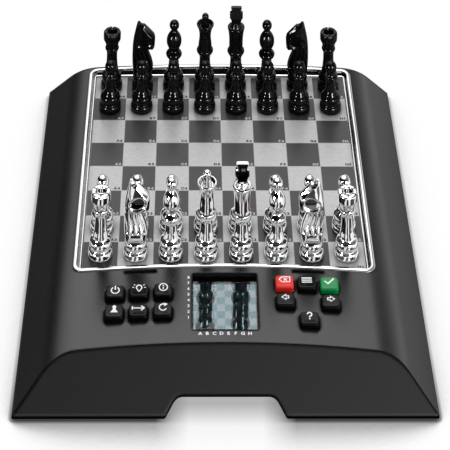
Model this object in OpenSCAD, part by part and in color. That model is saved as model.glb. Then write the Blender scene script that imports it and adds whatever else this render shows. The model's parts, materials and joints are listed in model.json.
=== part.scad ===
// Electronic chess computer: an arched console with a pressure-sensing board, a display, twelve keys
// and a full set of men. Millimetres, +Z up, +Y towards the back. The origin is on the table, at the
// centre of the footprint.

/* [Casing] */
// Width of the casing at its foot
body_w = 279; // [272:1:300]
// Depth of the casing at its foot
body_d = 311.4; // [306:0.2:320]
// Height of the crown of the dome over the table
crown_h = 35.3; // [34.5:0.1:38]
// Radius of the dome, seen from the front
dome_r = 1400; // [1200:50:2000]
// Radius of the shoulder between dome and flank
shoulder_r = 35; // [25:1:40]
// Slope of the flank over the table, in degrees
flank_angle = 46; // [42:1:50]
// How far the front face leans back per millimetre of height
front_lean = 0.61; // [0.4:0.01:0.64]
// How far the back face leans forward per millimetre of height
back_lean = 0.41; // [0.2:0.01:0.44]
// Wall thickness of the moulded shell
wall = 2.6; // [2:0.1:3]

/* [Board] */
// Side of one square
square_w = 25; // [24.8:0.05:25]
// How far the board's centre lies behind the casing's centre
board_y = 35; // [32:0.5:35]
// Height of the playing surface over the table
board_z = 29; // [28:0.1:29.5]
// Width of the bright frame round the board
frame_w = 5.6; // [5:0.1:5.7]

/* [Console] */
// Width of a key cap
key_w = 12.8; // [11:0.1:13]
// Depth of a key cap, front to back
key_d = 10.8; // [9:0.1:11.2]
// How far a key cap stands out of the casing
key_h = 3.5; // [3:0.1:5.5]
// How far a key travels
key_travel = 1.2; // [0.8:0.1:1.3]
// Width of the display opening
display_w = 44.2; // [38:0.1:45]
// Depth of the display opening, front to back
display_d = 47.6; // [44:0.1:49]

/* [Men] */
// Widest radius of a man's foot
foot_r = 8.6; // [7.5:0.1:8.8]
// How far behind the middle of its square a man stands, so that the square's name stays readable
man_back = 1.6; // [0:0.1:2]

/* [Power] */
// How far the battery door slides to unlock
door_travel = 8; // [5:1:8]
// Radius of the socket's opening
jack_r = 3.1; // [2.8:0.1:3.3]

/* [Hidden] */
$fn = 64;
gap = 0.03;
base_z = 1.2;
lip_z = 3;
cover_t = 2;
deck_z = base_z + cover_t;

// The cross-section's corner points and arc centres, on the right-hand side
flank_n = [sin(flank_angle), cos(flank_angle)];
flank_d = [-cos(flank_angle), sin(flank_angle)];
flank_foot = [body_w / 2, lip_z];
dome_c = [0, crown_h - dome_r];
from_dome = flank_foot - shoulder_r * flank_n - dome_c;
along = from_dome * flank_d;
reach = sqrt(along * along - from_dome * from_dome + pow(dome_r - shoulder_r, 2)) - along;
shoulder_c = flank_foot - shoulder_r * flank_n + reach * flank_d;
to_shoulder = shoulder_c - dome_c;
join_angle = atan2(to_shoulder[1], to_shoulder[0]);

board_w = 8 * square_w;
opening = board_w + 6;
frame_half = board_w / 2 + frame_w;
ledge_z = board_z - 2.4;
film_t = 0.8;
sensor_t = 1.4;
display_y = -100.6;
window_t = 1.5;
window_z = roof_z(display_w / 2 + 3) - wall - window_t - 0.05;
lcd_t = 3;
lcd_z = window_z - 2.8 - lcd_t;
slot_x = 58.4;
slot_y = -73.8;
toe_r = 1.7;
notch_h = 11.4;
notch_slope = 52;
notch_top_x = 28.4;
notch_top_r = 8;
notch_foot_x = 42.5;
notch_foot_r = 4.5;
notch_depth = 26;

key_left_x = [-75.2, -58.9, -42.3];
key_right_x = [41.2, 56.6, 72.1];
key_left_y = [-93.9, -110.8];
key_right_y = [-86.9, -102.2, -117.5];
flange_t = 1;
pcb_z = 21;
pcb_t = 1.6;

// Each key: name, place and colour
KEYS = [
    ["key_power", key_left_x[0], key_left_y[0], "#1c1c1e"],
    ["key_hint", key_left_x[1], key_left_y[0], "#1c1c1e"],
    ["key_info", key_left_x[2], key_left_y[0], "#1c1c1e"],
    ["key_pawn", key_left_x[0], key_left_y[1], "#1c1c1e"],
    ["key_move", key_left_x[1], key_left_y[1], "#1c1c1e"],
    ["key_new", key_left_x[2], key_left_y[1], "#1c1c1e"],
    ["key_clear", key_right_x[0], key_right_y[0], "#d8322a"],
    ["key_menu", key_right_x[1], key_right_y[0], "#1c1c1e"],
    ["key_enter", key_right_x[2], key_right_y[0], "#0f7a3c"],
    ["key_left", key_right_x[0], key_right_y[1], "#1c1c1e"],
    ["key_right", key_right_x[2], key_right_y[1], "#1c1c1e"],
    ["key_help", key_right_x[1], key_right_y[2], "#1c1c1e"]
];

// The eight officers from the a-file to the h-file, and the letters of the files
OFFICERS = ["rook_a", "knight_b", "bishop_c", "queen", "king", "bishop_f", "knight_g", "rook_h"];
KINDS = ["rook", "knight", "bishop", "queen", "king", "bishop", "knight", "rook"];
FILES = ["a", "b", "c", "d", "e", "f", "g", "h"];
// Each side: name, colour, the officers' rank and the pawns' rank, counted from the front
SIDES = [["white", "#d9dadc", 0, 1], ["black", "#141416", 7, 6]];

FIXED = [
    "top_shell", "bottom_cover", "board_frame", "board_film", "sensor_board", "display_window",
    "lcd_module", "main_pcb", "keypad_mat", "speaker", "batteries", "battery_contacts", "dc_jack",
    "rubber_feet", "case_screws", "battery_door"
];

screw_x = 124;
screw_y = [-118, 8, 122];
boss_r = 3.6;
pilot_r = 1.3;
shank_r = 1.28;
feet_x = 118;
feet_y = [-134, 138];

bay = [60, 61];
bay_y = 62;
bay_top = 19.6;
cell_r = 7.1;
cell_l = 48.5;
cell_pitch = 14.7;
cell_z = 10.4;
door = [62, 66];
door_t = 1.3;
speaker_at = [98, -40];
speaker_r = 18;
jack_at = [84, 8.8];

// ---- shared shapes ----

// Height of the dome's outer surface at x
function roof_z(x) = crown_h - dome_r + sqrt(dome_r * dome_r - x * x);

// Points on an arc, from angle a to angle b
function arc(c, r, a, b, n) = [for (i = [0 : n]) c + r * [cos(a + (b - a) * i / n), sin(a + (b - a) * i / n)]];

// Right half of the cross-section, moved inwards by t, from the foot to the crown
function half_section(t) = concat(
    toe([body_w / 2 - t, base_z], t > 0 ? 0 : toe_r),
    [[body_w / 2 - t, lip_z + t * (flank_n[0] - 1) / flank_n[1]]],
    arc(shoulder_c, shoulder_r - t, 90 - flank_angle, join_angle, 12),
    [for (i = [1 : 14]) dome_point(dome_r - t, join_angle + (90 - join_angle) * i / 14)]
);
function dome_point(r, a) = dome_c + r * [cos(a), sin(a)];
// The casing's rounded lower edge at a foot point, or a plain one, down to the table
function toe(foot, r) = concat([[foot[0] - r, 0]], r > 0 ? arc(foot + [-r, r], r, -90, 0, 4) : []);
// Where the raked front and back faces stand at height z
function front_y(z) = -body_d / 2 + front_lean * (z - base_z);
function back_y(z) = body_d / 2 - back_lean * (z - base_z);
function mirrored(points) = [for (i = [len(points) - 2 : -1 : 0]) [-points[i][0], points[i][1]]];

// The casing's body, moved inwards by t, from height z0 up
module casing_solid(t = 0, z0 = 0) {
    lean_f = t * sqrt(1 + front_lean * front_lean);
    lean_b = t * sqrt(1 + back_lean * back_lean);
    toe_in = t > 0 || z0 < base_z ? 0 : toe_r;
    top = 60;
    half = half_section(t);
    intersection() {
        translate([0, body_d / 2 + 1, 0])
            rotate([90, 0, 0])
                linear_extrude(body_d + 2) polygon(concat(half, mirrored(half)));
        translate([-body_w, 0, 0])
            rotate([90, 0, 90])
                linear_extrude(2 * body_w)
                    polygon([
                        [front_y(z0) + lean_f + toe_in, z0],
                        [back_y(z0) - lean_b - toe_in, z0],
                        [back_y(z0 + toe_in * 0.35) - lean_b - toe_in * 0.25, z0 + toe_in * 0.35],
                        [back_y(z0 + toe_in) - lean_b, z0 + toe_in],
                        [back_y(top) - lean_b, top],
                        [front_y(top) + lean_f, top],
                        [front_y(z0 + toe_in) + lean_f, z0 + toe_in],
                        [front_y(z0 + toe_in * 0.35) + lean_f + toe_in * 0.25, z0 + toe_in * 0.35]
                    ]);
    }
}

// A block centred on x and y, from z0 to z1
module slab(size, z0, z1) {
    translate([-size[0] / 2, -size[1] / 2, z0]) cube([size[0], size[1], z1 - z0]);
}

// A plate with rounded corners, centred on x and y, from z0 to z1
module rounded_slab(size, r, z0, z1) {
    translate([0, 0, z0])
        linear_extrude(z1 - z0) {
            square([size[0] - 2 * r, size[1]], center = true);
            square([size[0], size[1] - 2 * r], center = true);
            for (x = [-1, 1], y = [-1, 1])
                translate([x * (size[0] / 2 - r), y * (size[1] / 2 - r)]) circle(r);
        }
}

// The finger notch in the front, grown by t: its flanks leave the foot and meet the top in round curves
module notch(t = 0) {
    half = concat(
        [[notch_foot_x + t, -1]],
        arc([notch_foot_x, base_z + notch_foot_r], notch_foot_r - t, 270, 270 - notch_slope, 5),
        arc([notch_top_x, notch_h - notch_top_r], notch_top_r + t, 90 - notch_slope, 90, 8),
        [[0, notch_h + t]]
    );
    translate([0, notch_depth + t - body_d / 2, 0])
        rotate([90, 0, 0])
            linear_extrude(notch_depth + 20) polygon(concat(half, mirrored(half)));
}

module at_screws() {
    for (x = [-screw_x, screw_x], y = screw_y) translate([x, y, 0]) children();
}

module at_feet() {
    for (x = [-feet_x, feet_x], y = feet_y) translate([x, y, 0]) children();
}

// ---- casing ----

module top_shell() {
    color("#3b3b3d")
        difference() {
            union() {
                difference() {
                    casing_solid(0, base_z);
                    casing_solid(wall, 0);
                }
                // The board's well, the screw bosses and the notch's walls
                intersection() {
                    casing_solid(wall / 2, base_z);
                    union() {
                        translate([0, board_y, 0]) slab([opening + 4, opening + 4], ledge_z - 2, crown_h);
                        translate([0, 0, deck_z + 0.1]) at_screws() cylinder(r = boss_r, h = crown_h);
                        notch(2);
                    }
                }
            }
            translate([0, board_y, 0]) slab([opening, opening], ledge_z, crown_h + 1);
            translate([0, board_y, 0]) slab([opening - 16, opening - 16], 0, crown_h + 1);
            notch();
            at_screws() cylinder(r = pilot_r, h = 12);
            for (key = KEYS)
                translate([key[1], key[2], 0])
                    rounded_slab([key_w + 0.5, key_d + 0.5], 2, pcb_z, crown_h + 1);
            translate([0, display_y, 0])
                rounded_slab([display_w, display_d], 1, pcb_z, crown_h + 1);
            for (x = [-slot_x, slot_x])
                translate([x, slot_y, 0]) slab([22, 2.2], roof_z(slot_x) - 1.6, crown_h + 1);
            translate([jack_at[0], body_d / 2 - 12, jack_at[1]])
                rotate([-90, 0, 0]) cylinder(r = 4.4, h = 20);
        }
}

module bottom_cover() {
    color("#232325")
        difference() {
            union() {
                intersection() {
                    casing_solid(wall + 0.15, base_z);
                    slab([body_w, body_d], base_z, deck_z);
                }
                translate([0, bay_y, 0]) slab([bay[0] + 9, bay[1] + 24], deck_z - gap, deck_z + 1.4);
                translate([0, bay_y, 0]) slab([bay[0] + 3.2, bay[1] + 3.2], deck_z, bay_top);
            }
            notch(2.15);
            translate([0, bay_y, 0]) slab(bay, base_z - 1, bay_top - 1.6);
            translate([0, bay_y, 0]) door_room();
            at_screws() {
                cylinder(r = 1.6, h = 10);
                cylinder(r = 3.1, h = base_z + 0.9);
            }
            translate([speaker_at[0], speaker_at[1], 0])
                for (i = [-3 : 3])
                    translate([0, i * 4.4, 0])
                        slab([2 * sqrt(pow(speaker_r - 2, 2) - pow(i * 4.4, 2)), 1.8], 0, 8);
            at_feet() cylinder(r = 6.2, h = base_z + 0.6);
        }
}

// The room the door needs, shut and slid open, with the grooves for its two long edges
module door_room() {
    translate([0, -door_travel / 2, 0]) {
        slab([door[0] + 0.4, door[1] + door_travel + 0.4], 0, base_z + door_t + 0.3);
        slab([door[0] + 2.4, door[1] + door_travel + 0.4], base_z + 0.55, base_z + door_t + 0.3);
    }
}

module battery_door() {
    color("#232325")
        translate([0, bay_y, 0])
            difference() {
                union() {
                    slab(door, base_z + 0.05, base_z + 0.05 + door_t);
                    slab([door[0] + 2, door[1]], base_z + 0.65, base_z + 0.05 + door_t);
                }
                for (i = [0 : 4])
                    translate([0, -door[1] / 2 + 8 + 3 * i, 0]) slab([26, 1.2], 0, base_z + 0.5);
            }
}

// ---- board ----

// The bright bead: it rests on the dome's surface and slopes down to the board
module board_frame() {
    bead = 2.2;
    rise = 0.9;
    low_z = board_z + 0.9;
    inner = board_w / 2;
    ridge = frame_half - bead;
    side_z = roof_z(ridge) + rise;
    color("#dcdde0")
        difference() {
            intersection() {
                translate([0, board_y, 0]) rounded_slab([2 * frame_half, 2 * frame_half], 6.5, 10, 60);
                translate([0, 0, rise]) casing_solid(0, 0);
            }
            translate([0, board_y, 0]) slab([board_w, board_w], 0, 60);
            difference() {
                translate([0, 0, gap]) casing_solid(0, 0);
                translate([0, board_y, 0]) slab([opening - 0.4, opening - 0.4], 0, 60);
            }
            slab([2 * body_w, 2 * body_d], 0, board_z + gap);
            translate([0, board_y, 0])
                intersection() {
                    funnel(inner, ridge, low_z, side_z);
                    rotate([0, 0, 90]) funnel(inner, ridge, low_z, crown_h + rise);
                }
        }
}

// A trough that opens upwards, from half-width a at height z0 to half-width b at height z1
module funnel(a, b, z0, z1) {
    grow = 3;
    translate([0, body_d, 0])
        rotate([90, 0, 0])
            linear_extrude(2 * body_d)
                polygon([
                    [-a, z0],
                    [a, z0],
                    [a + grow * (b - a), z0 + grow * (z1 - z0)],
                    [-a - grow * (b - a), z0 + grow * (z1 - z0)]
                ]);
}

module board_film() {
    color("#a9abad")
        translate([0, board_y, 0]) slab([opening - 0.8, opening - 0.8], board_z - film_t, board_z);
}

module sensor_board() {
    color("#2f6b45")
        translate([0, board_y, 0])
            slab([opening - 0.8, opening - 0.8], ledge_z + gap, ledge_z + gap + sensor_t);
}

// ---- console ----

module display_window() {
    color("#b9c6cc", 0.4)
        translate([0, display_y, 0])
            slab([display_w + 4, display_d + 4], window_z, window_z + window_t);
}

module lcd_module() {
    color("#b4bfc6")
        union() {
            translate([0, display_y, 0]) slab([display_w + 2, display_d + 2], lcd_z, lcd_z + lcd_t);
            lcd_pins(1.2, pcb_z - 1, lcd_z + 0.5);
        }
}

module main_pcb() {
    color("#1f5f3a") {
        difference() {
            translate([0, -103, 0]) slab([186, 54], pcb_z, pcb_z + pcb_t);
            lcd_pins(1.25, 0, 60);
        }
        for (x = [-30, 30])
            translate([x, -103, 0]) slab([14, 14], pcb_z - 2, pcb_z + 0.5);
        translate([0, -120, 0]) slab([30, 8], pcb_z - 1.6, pcb_z + 0.5);
    }
}

// Four round pins under the display, from z0 to z1, or the holes they stand in
module lcd_pins(r, z0, z1) {
    for (x = [-1, 1], y = [-1, 1])
        translate([x * display_w / 2.3, display_y + y * display_d / 2.3, z0]) cylinder(r = r, h = z1 - z0);
}

// Two dome mats. Each dome is a ring that the key's post enters
module keypad_mat() {
    mat_z = pcb_z + pcb_t + gap;
    color("#6d6f72") {
        difference() {
            union() {
                mat([-58.8, -104], [48, 30], mat_z);
                mat([56.6, -104.3], [46, 48], mat_z);
                for (key = KEYS) translate([key[1], key[2], mat_z]) cylinder(r = 4.6, h = 3);
            }
            for (key = KEYS) translate([key[1], key[2], mat_z + 0.8]) cylinder(r = 3, h = 5);
        }
    }
}

module mat(at, size, z) {
    translate([at[0], at[1], 0]) slab(size, z, z + 1.2);
}

// A key: the cap, the flange that stops it under the shell, and the post over its dome
module key_cap(at, shade) {
    top_z = roof_z(at[0]) + key_h;
    flange_z = roof_z(abs(at[0]) + key_w / 2) - wall - 0.25 - flange_t;
    post_z = pcb_z + pcb_t + 0.8 + key_travel + 0.3;
    color(shade)
        translate([at[0], at[1], 0]) {
            rounded_slab([key_w, key_d], 1.8, flange_z, top_z);
            rounded_slab([key_w + 1.8, key_d + 1.8], 1.8, flange_z, flange_z + flange_t);
            translate([0, 0, post_z]) cylinder(r = 2.6, h = flange_z - post_z + 0.5);
        }
}

// ---- sound and power ----

module speaker() {
    color("#55575a")
        translate([speaker_at[0], speaker_at[1], deck_z + gap])
            rotate_extrude()
                polygon([
                    [0, 0.8], [speaker_r - 3, 0.2], [speaker_r - 3, 0], [speaker_r, 0],
                    [speaker_r, 2.4], [speaker_r * 0.6, 4.6], [speaker_r * 0.6, 8], [0, 8]
                ]);
}

module batteries() {
    color("#8a8f94")
        for (i = [0 : 3])
            translate([0, bay_y + (i - 1.5) * cell_pitch, cell_z])
                rotate([0, i % 2 == 0 ? 90 : -90, 0])
                    translate([0, 0, -cell_l / 2]) {
                        cylinder(r = cell_r, h = cell_l - 1.4);
                        cylinder(r = 2.7, h = cell_l);
                    }
}

// A flat tab at each cell's nub, and a plate with a coil spring at its base
module battery_contacts() {
    end_x = bay[0] / 2 - 0.1;
    plate_t = 0.4;
    coil_l = end_x - plate_t - cell_l / 2 - 2 * gap;
    color("#c9cacc")
        for (i = [0 : 3], s = [-1, 1]) {
            spring_end = (i % 2 == 0) ? s < 0 : s > 0;
            translate([0, bay_y + (i - 1.5) * cell_pitch, cell_z])
                rotate([0, s * 90, 0]) {
                    translate([0, 0, end_x - plate_t]) slab([11, 11], 0, plate_t);
                    translate([0, 0, end_x - plate_t - coil_l])
                        difference() {
                            cylinder(r = spring_end ? 4 : 2.4, h = coil_l);
                            translate([0, 0, -1]) cylinder(r = spring_end ? 3.2 : 1.2, h = coil_l);
                        }
                }
        }
}

module dc_jack() {
    depth = 11;
    collar = 3.6;
    face_y = back_y(jack_at[1] + 5.5) - wall * sqrt(1 + back_lean * back_lean) - 0.3;
    color("#1a1a1c")
        translate([jack_at[0], face_y, jack_at[1]])
            rotate([90, 0, 0])
                difference() {
                    union() {
                        slab([9.4, 11], 0, depth);
                        translate([0, 0, -collar]) cylinder(r = 4, h = collar + 0.5);
                    }
                    difference() {
                        translate([0, 0, -collar - 1]) cylinder(r = jack_r, h = collar + depth - 1);
                        cylinder(r = 1, h = depth);
                    }
                }
}

module rubber_feet() {
    color("#111113")
        at_feet()
            rotate_extrude()
                polygon([[0, 0], [5.2, 0], [6, 0.8], [6, base_z + 0.6 - gap], [0, base_z + 0.6 - gap]]);
}

module case_screws() {
    head_z = base_z + 0.9;
    color("#b0b2b5")
        at_screws()
            difference() {
                union() {
                    translate([0, 0, head_z - 1.1 - gap]) cylinder(r = 2.8, h = 1.1);
                    translate([0, 0, head_z - 0.5]) cylinder(r = shank_r, h = 8.5);
                }
                for (turn = [0, 90])
                    rotate([0, 0, turn]) slab([3, 0.7], 0, head_z - 0.6);
            }
}

// ---- men ----

// A turned man: its outline is a list of [radius, height]
module turned(points) {
    rotate_extrude() polygon(concat([[0, 0]], points, [[0, points[len(points) - 1][1]]]));
}

// The foot and shoulder that all the men share, up to height 13
function foot(neck_r) = [
    [foot_r - 0.5, 0], [foot_r, 0.9], [foot_r, 3.6], [foot_r - 0.9, 5.2], [foot_r - 1.6, 6],
    [foot_r - 1.1, 7.4], [foot_r - 0.8, 9.4], [foot_r - 1.4, 11.4], [foot_r - 3, 13],
    [neck_r + 0.9, 15.4], [neck_r, 18.5]
];

module pawn() {
    turned(concat(foot(3.5), [[3.2, 22], [3.4, 24.4], [4.8, 25.4], [4.8, 26.4], [3, 27.6]]));
    translate([0, 0, 32.2]) sphere(4.9);
}

module bishop() {
    turned(concat(foot(4), [
        [4, 22], [6.2, 24.6], [6.4, 26.8], [5, 29], [4, 30.8], [4.7, 33], [5.6, 37], [4.9, 40.5],
        [2.7, 45], [2.7, 47]
    ]));
    translate([0, 0, 49.8]) sphere(3.8);
}

module queen() {
    turned(concat(foot(4.3), [
        [4.2, 24.5], [6.2, 28], [6.6, 30], [5.4, 33], [5.2, 36], [4.5, 41], [5, 45], [6.5, 49],
        [6.7, 50.6], [5.4, 50.8], [3.6, 49.6], [3.3, 52], [2.6, 56]
    ]));
    translate([0, 0, 56.6]) sphere(2.6);
}

module king() {
    cross_t = 3.6;
    turned(concat(foot(4.6), [
        [4.4, 23.4], [6, 27], [6.8, 29.2], [6, 32], [5.6, 36], [5.6, 41], [6.6, 46.5], [6.8, 48.6],
        [5.4, 49.4], [3.6, 49.6]
    ]));
    translate([0, cross_t / 2, 0])
        rotate([90, 0, 0])
            linear_extrude(cross_t)
                polygon([
                    [-3.4, 49], [3.4, 49], [4, 54.6], [5.1, 55.6], [5.1, 60], [3.5, 60.8], [4.2, 64.4],
                    [-4.2, 64.4], [-3.5, 60.8], [-5.1, 60], [-5.1, 55.6], [-4, 54.6]
                ]);
}

module rook() {
    rim_z = 44.6;
    difference() {
        turned(concat(foot(4.4), [
            [4.2, 27], [5.8, 30], [5.9, 32.4], [6.6, 34.4], [7, 39], [6.7, rim_z]
        ]));
        translate([0, 0, 39.6]) cylinder(r = 4.4, h = 8);
        for (turn = [0 : 60 : 120])
            rotate([0, 0, turn + 30]) slab([20, 1.5], rim_z - 2, rim_z + 2);
    }
}

// The horse's head and neck, facing +X: its outline from the side, and its thickness from the front
module knight() {
    body_t = 12;
    turned([for (p = foot(4.4)) if (p[1] < 12) p]);
    intersection() {
        translate([0, body_t, 0])
            rotate([90, 0, 0])
                linear_extrude(2 * body_t)
                    polygon([
                        [-7, 10.5], [-7.9, 19], [-8, 27], [-7.5, 36], [-6.2, 44.5], [-4, 52.6], [-2.4, 52.4],
                        [-1.4, 50], [0.6, 50.6], [9.2, 42.2], [9.4, 39.6], [8.9, 32.2], [7.4, 30.8],
                        [5.4, 32], [3.4, 31.6], [6, 25.4], [8.2, 18], [7.2, 10.5]
                    ]);
        rotate([90, 0, 90])
            linear_extrude(60, center = true)
                polygon([
                    [-6.4, 10], [6.4, 10], [4.8, 30], [4.2, 36], [3.2, 46], [1.3, 53], [-1.3, 53],
                    [-3.2, 46], [-4.2, 36], [-4.8, 30]
                ]);
    }
}

module man(kind, faces_left) {
    if (kind == "pawn") pawn();
    if (kind == "rook") rook();
    if (kind == "knight") rotate([0, 0, faces_left ? 180 : 0]) knight();
    if (kind == "bishop") bishop();
    if (kind == "queen") queen();
    if (kind == "king") king();
}

// A man on the square of a file and a rank, both counted from 0
module on_square(file, rank) {
    translate([
        (file - 3.5) * square_w,
        board_y + (rank - 3.5) * square_w + man_back,
        board_z + gap
    ]) children();
}

top_shell();
bottom_cover();
board_frame();
board_film();
sensor_board();
display_window();
lcd_module();
main_pcb();
keypad_mat();
speaker();
batteries();
battery_contacts();
dc_jack();
rubber_feet();
case_screws();
battery_door();
for (key = KEYS)
    key_cap([key[1], key[2]], key[3]);
for (side = SIDES, i = [0 : 7]) {
    color(side[1]) on_square(i, side[2]) man(KINDS[i], i > 3);
    color(side[1]) on_square(i, side[3]) man("pawn", false);
}
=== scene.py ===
"""Looks of the electronic chess computer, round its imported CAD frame. Metres, +Z up, +Y to the back."""

import json
import math

import bpy
import numpy as np
from mathutils import Matrix, Vector

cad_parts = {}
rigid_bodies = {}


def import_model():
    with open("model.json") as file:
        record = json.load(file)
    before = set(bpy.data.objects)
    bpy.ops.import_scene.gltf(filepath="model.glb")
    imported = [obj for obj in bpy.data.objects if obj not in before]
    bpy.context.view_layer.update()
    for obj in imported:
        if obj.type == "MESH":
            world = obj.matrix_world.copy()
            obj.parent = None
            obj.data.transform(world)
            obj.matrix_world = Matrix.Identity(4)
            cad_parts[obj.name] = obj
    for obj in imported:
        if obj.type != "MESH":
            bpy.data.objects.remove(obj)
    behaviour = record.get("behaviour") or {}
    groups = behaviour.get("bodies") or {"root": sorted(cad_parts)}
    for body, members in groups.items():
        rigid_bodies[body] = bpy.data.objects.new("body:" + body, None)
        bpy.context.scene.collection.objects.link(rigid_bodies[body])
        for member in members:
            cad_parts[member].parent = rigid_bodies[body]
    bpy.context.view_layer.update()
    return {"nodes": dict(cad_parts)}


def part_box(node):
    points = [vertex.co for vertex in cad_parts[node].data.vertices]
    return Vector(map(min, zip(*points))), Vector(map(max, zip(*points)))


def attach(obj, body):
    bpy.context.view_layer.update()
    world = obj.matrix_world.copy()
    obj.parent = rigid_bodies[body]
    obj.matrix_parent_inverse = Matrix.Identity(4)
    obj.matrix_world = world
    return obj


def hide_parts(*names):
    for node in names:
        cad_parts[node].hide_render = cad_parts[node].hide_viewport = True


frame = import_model()

MM = 0.001
SQUARE = 25 * MM
DOME_R = 1400 * MM
PARTING_Z = 2.9 * MM

# ---- places, from the frame

film_low, film_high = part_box("board_film")
board_centre = (film_low + film_high) / 2
BOARD_Z = film_high.z
shell_low, shell_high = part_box("top_shell")
CROWN = shell_high.z
lcd_low, lcd_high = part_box("lcd_module")
frame_low, frame_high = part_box("board_frame")


def roof(x):
    """Height of the casing's dome at x."""
    return CROWN - DOME_R + math.sqrt(DOME_R * DOME_R - x * x)


# ---- node trees

# Places of the outputs used of the Texture Coordinate node and of the Geometry node
ALL_ROUND, IN_OBJECT, MIRRORED = 0, 3, 6
TRUE_NORMAL, BACK_FACE = 3, 6


class Tree:
    """Short-hand for a node tree: a value or a socket goes in under its input's name."""

    def __init__(self, tree):
        tree.nodes.clear()
        self.tree = tree

    def plug(self, socket, value):
        """Links a socket or sets a value. Where a colour is asked for, a number is a grey."""
        if isinstance(value, bpy.types.NodeSocket):
            self.tree.links.new(value, socket)
        elif socket.type == "RGBA":
            colour = (value,) * 3 if isinstance(value, float) else value
            socket.default_value = (*colour, 1)
        else:
            socket.default_value = value

    def add(self, kind, props=None, out=0, **inputs):
        node = self.tree.nodes.new(kind)
        for key, value in (props or {}).items():
            setattr(node, key, value)
        for key, value in inputs.items():
            self.plug(node.inputs[key.replace("_", " ")], value)
        return node.outputs[out]

    def math(self, operation, a, b=None, c=None):
        node = self.tree.nodes.new("ShaderNodeMath")
        node.operation = operation
        for i, value in enumerate((a, b, c)):
            if value is not None:
                self.plug(node.inputs[i], value)
        return node.outputs[0]

    def plus(self, a, b):
        return self.math("ADD", a, b)

    def minus(self, a, b):
        return self.math("SUBTRACT", a, b)

    def times(self, a, b):
        return self.math("MULTIPLY", a, b)

    def power(self, a, b):
        return self.math("POWER", a, b)

    def absolute(self, a):
        return self.math("ABSOLUTE", a)

    def mix(self, fac, a, b):
        node = self.tree.nodes.new("ShaderNodeMix")
        node.data_type = "RGBA"
        self.plug(node.inputs[0], fac)
        self.plug(node.inputs[6], a)
        self.plug(node.inputs[7], b)
        return node.outputs[2]

    def ramp(self, fac, stops):
        node = self.tree.nodes.new("ShaderNodeValToRGB")
        self.plug(node.inputs[0], fac)
        ramp = node.color_ramp
        while len(ramp.elements) < len(stops):
            ramp.elements.new(0.5)
        for element, (at, value) in zip(ramp.elements, stops):
            element.position = at
            element.color = (value, value, value, 1)
        return node.outputs[0]

    def span(self, value, a, b, c=0.0, d=1.0):
        """value taken from the range a to b to the range c to d, held at its ends."""
        node = self.tree.nodes.new("ShaderNodeMapRange")
        for i, v in enumerate((value, a, b, c, d)):
            self.plug(node.inputs[i], v)
        return node.outputs[0]

    def spread(self, noise, low=0.0, high=1.0):
        """A noise, from the range it mostly keeps to, to the range low to high."""
        return self.span(noise, 0.3, 0.7, low, high)

    def odd_square(self, u, v):
        """1 and 0 by turns on the squares of a board counted by u and v."""
        return self.math("FLOORED_MODULO", self.plus(self.math("FLOOR", u), self.math("FLOOR", v)), 2.0)

    def split(self, vector):
        node = self.tree.nodes.new("ShaderNodeSeparateXYZ")
        self.plug(node.inputs[0], vector)
        return node.outputs

    def place(self):
        """Place in the object, in metres."""
        return self.add("ShaderNodeTexCoord", out=IN_OBJECT)

    def light_path(self):
        return self.tree.nodes.new("ShaderNodeLightPath").outputs

    def openness(self, distance, samples):
        """1 in the open, less where something within the distance hides the sky."""
        props = {"samples": samples}
        return self.add("ShaderNodeAmbientOcclusion", props, out=1, Distance=distance)

    def vector_math(self, operation, a, b, out=0):
        node = self.tree.nodes.new("ShaderNodeVectorMath")
        node.operation = operation
        self.plug(node.inputs[0], a)
        self.plug(node.inputs[1], b)
        return node.outputs[out]

    def noise(self, scale, detail=2.0, rough=0.5, stretch=None, at=None):
        """Noise over the object, or over another place at."""
        at = at or self.place()
        if stretch:
            at = self.vector_math("MULTIPLY", at, stretch)
        return self.add("ShaderNodeTexNoise", Vector=at, Scale=scale, Detail=detail, Roughness=rough)

    def bump(self, height, distance, strength=1.0):
        return self.add("ShaderNodeBump", Height=height, Distance=distance, Strength=strength)

    def surface(self, shader):
        out = self.tree.nodes.new("ShaderNodeOutputMaterial")
        self.tree.links.new(shader, out.inputs[0])

    def blend(self, fac, first, second):
        node = self.tree.nodes.new("ShaderNodeMixShader")
        for i, value in enumerate((fac, first, second)):
            self.plug(node.inputs[i], value)
        return node.outputs[0]

    def hidden_behind_display(self, shader):
        """The shader, left out of what the display mirrors, so that its back edge mirrors the sky."""
        half_wide, in_front, behind = 25 * MM, 8 * MM, 3 * MM
        x, y, z = self.split(self.place())
        near = self.math("LESS_THAN", self.absolute(x), half_wide)
        near = self.times(near, self.math("LESS_THAN", y, frame_low.y + behind))
        near = self.times(near, self.math("GREATER_THAN", y, lcd_high.y - in_front))
        path = self.light_path()
        through_window = self.math("GREATER_THAN", path["Transparent Depth"], 1.5)
        left_out = self.times(near, self.times(through_window, path["Is Glossy Ray"]))
        self.surface(self.blend(left_out, shader, self.add("ShaderNodeBsdfTransparent")))

    def principled(self, **inputs):
        self.surface(self.add("ShaderNodeBsdfPrincipled", **inputs))


def material(name):
    mat = bpy.data.materials.new(name)
    mat.use_nodes = True
    return mat, Tree(mat.node_tree)


def moulded(name, colour, rough, grain=3600.0, depth=0.014, tone=0.25, spec=0.5):
    """Moulded plastic: a fine grain, and a slow drift of colour and gloss."""
    mat, t = material(name)
    slow = t.noise(14.0, 3.0)
    fine = t.noise(grain, 3.0, 0.6)
    low = tuple(c * (1 - tone) for c in colour)
    high = tuple(c * (1 + tone) for c in colour)
    drift = t.spread(slow, rough - 0.03, rough + 0.03)
    t.principled(
        Base_Color=t.mix(t.span(slow, 0.35, 0.65), low, high),
        Roughness=t.plus(drift, t.spread(fine, -0.03, 0.03)),
        Specular_IOR_Level=spec,
        Normal=t.bump(fine, depth * MM, 0.6),
    )
    return mat


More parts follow.
